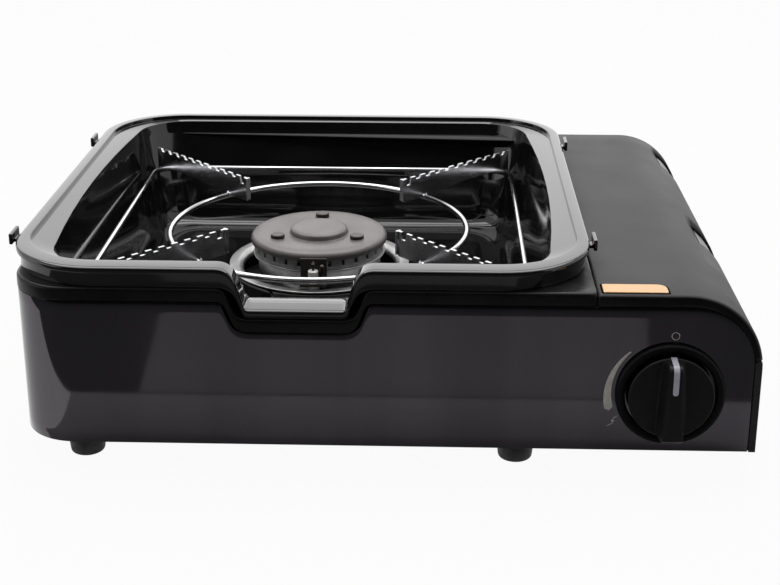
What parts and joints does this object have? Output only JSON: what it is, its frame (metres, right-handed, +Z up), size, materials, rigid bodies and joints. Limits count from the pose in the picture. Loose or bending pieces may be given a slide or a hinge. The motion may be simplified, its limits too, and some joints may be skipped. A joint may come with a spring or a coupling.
{
  "type": "portable gas stove",
  "caption": "Low table-top gas stove with a deep gloss drip bowl, a lift-out wire pan support, a round burner, a hinged cartridge lid and a push-and-turn dial.",
  "frame": {"origin": "on the floor plane under the middle of the overall box", "axes": "+Z up, the dial and front panel face -Y, the cartridge bay is on the +X side"},
  "size_m": [0.3858, 0.3208, 0.11],
  "materials": {
    "dark_steel": "dark brushed steel under clear lacquer",
    "black_sheet": "matt black paint",
    "lid_paint": "fine-textured matt black-grey paint",
    "cover_paint": "fine-textured matt black paint",
    "copper_plate": "polished copper-coloured plate, left bare",
    "zinc_sheet": "zinc-plated steel sheet",
    "gloss_enamel": "gloss black enamel",
    "bright_steel": "bright plain steel",
    "cast_aluminium": "cast, left plain",
    "cap_enamel": "satin black enamel",
    "brass": "turned brass",
    "dark_sheet": "heat-darkened steel sheet",
    "ceramic": "glazed white ceramic",
    "wire_sleeve": "red silicone sleeve",
    "magnet": "dark ferrite",
    "dial_plastic": "satin black moulding",
    "bezel_plastic": "semi-gloss black moulding",
    "white_plastic": "white moulding",
    "rubber": "soft black rubber",
    "chrome_wire": "bright chrome plating",
    "chrome_sheet": "chrome-plated steel sheet"
  },
  "bodies": {
    "base": {"front_panel": "dark_steel", "base_pan": "black_sheet", "side_panel": "lid_paint", "back_wall": "black_sheet", "top_cover": "cover_paint", "hinge_brackets": "zinc_sheet", "hinge_pins": "zinc_sheet", "drip_bowl": "gloss_enamel", "rim_clips": "gloss_enamel", "reflector_ring": "bright_steel", "burner_body": "cast_aluminium", "flame_ring": "cast_aluminium", "burner_cap": "cap_enamel", "cap_rivets": "cap_enamel", "mixing_tube": "cast_aluminium", "gas_jet": "brass", "gas_tube": "brass", "burner_stand": "zinc_sheet", "burner_screws": "zinc_sheet", "spark_shield": "dark_sheet", "electrode_ceramic": "ceramic", "electrode_pin": "bright_steel", "thermocouple": "brass", "ignition_wire": "wire_sleeve", "thermocouple_lead": "brass", "partition": "zinc_sheet", "gas_regulator": "cast_aluminium", "regulator_screws": "zinc_sheet", "magnet_ring": "magnet", "dial_bezel": "bezel_plastic", "piezo_igniter": "white_plastic", "cartridge_cradle": "zinc_sheet", "cartridge_stop": "zinc_sheet", "rubber_feet": "rubber", "foot_screws": "zinc_sheet", "cover_screws": "zinc_sheet"},
    "lid": {"cartridge_lid": "lid_paint", "lid_badge": "copper_plate"},
    "push": {"push_sleeve": "zinc_sheet"},
    "dial": {"control_dial": "dial_plastic", "dial_pointer": "white_plastic", "valve_spindle": "bright_steel"},
    "pan_support": {"frame_wire": "chrome_wire", "ring_wire": "chrome_wire", "bracket_front_left": "chrome_sheet", "bracket_front_right": "chrome_sheet", "bracket_rear_right": "chrome_sheet", "bracket_rear_left": "chrome_sheet"}
  },
  "joints": [
    {"name": "lid_hinge", "type": "hinge", "parent": "base", "child": "lid", "pos_m": [0.19071, 0, 0.06251], "axis": [0, 1, 0], "range_deg": [0, 100]},
    {"name": "valve_push", "type": "slide", "parent": "base", "child": "push", "axis": [0, 1, 0], "range_m": [0, 0.003], "stiffness_N_per_m": 1200, "springref_m": -0.002},
    {"name": "dial_turn", "type": "hinge", "parent": "push", "child": "dial", "pos_m": [0.14589, -0.14105, 0.0437], "axis": [0, -1, 0], "range_deg": [0, 120]},
    {"name": "support_lift", "type": "slide", "parent": "base", "child": "pan_support", "axis": [0, 0, 1], "range_m": [0, 0.06]}
  ]
}
